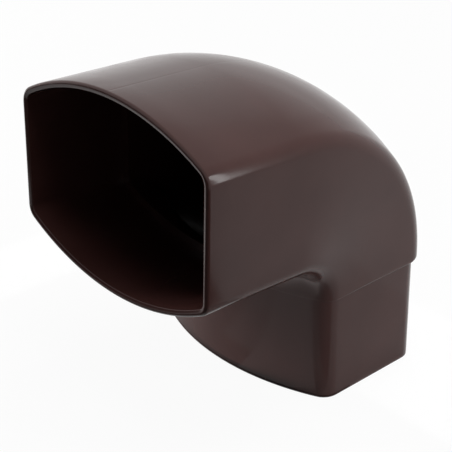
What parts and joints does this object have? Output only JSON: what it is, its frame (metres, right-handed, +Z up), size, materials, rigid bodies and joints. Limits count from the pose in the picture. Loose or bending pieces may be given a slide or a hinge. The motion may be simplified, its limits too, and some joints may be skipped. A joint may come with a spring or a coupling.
{
  "type": "downspout elbow",
  "caption": "Moulded right-angle elbow that turns a rectangular downspout with bowed broad sides: a socket that looks sideways, a rounded bend and a spigot that points down.",
  "frame": {"origin": "on the spigot's axis, at the spigot's lower end", "axes": "+X along the long axis of the pipe's section, +Y away from the socket's mouth, +Z up along the spigot's axis"},
  "size_m": [0.114, 0.1352, 0.1397],
  "materials": {
    "brown_plastic": "satin-gloss dark brown, moulded"
  },
  "bodies": {
    "root": {"elbow_body": "brown_plastic"}
  },
  "joints": []
}
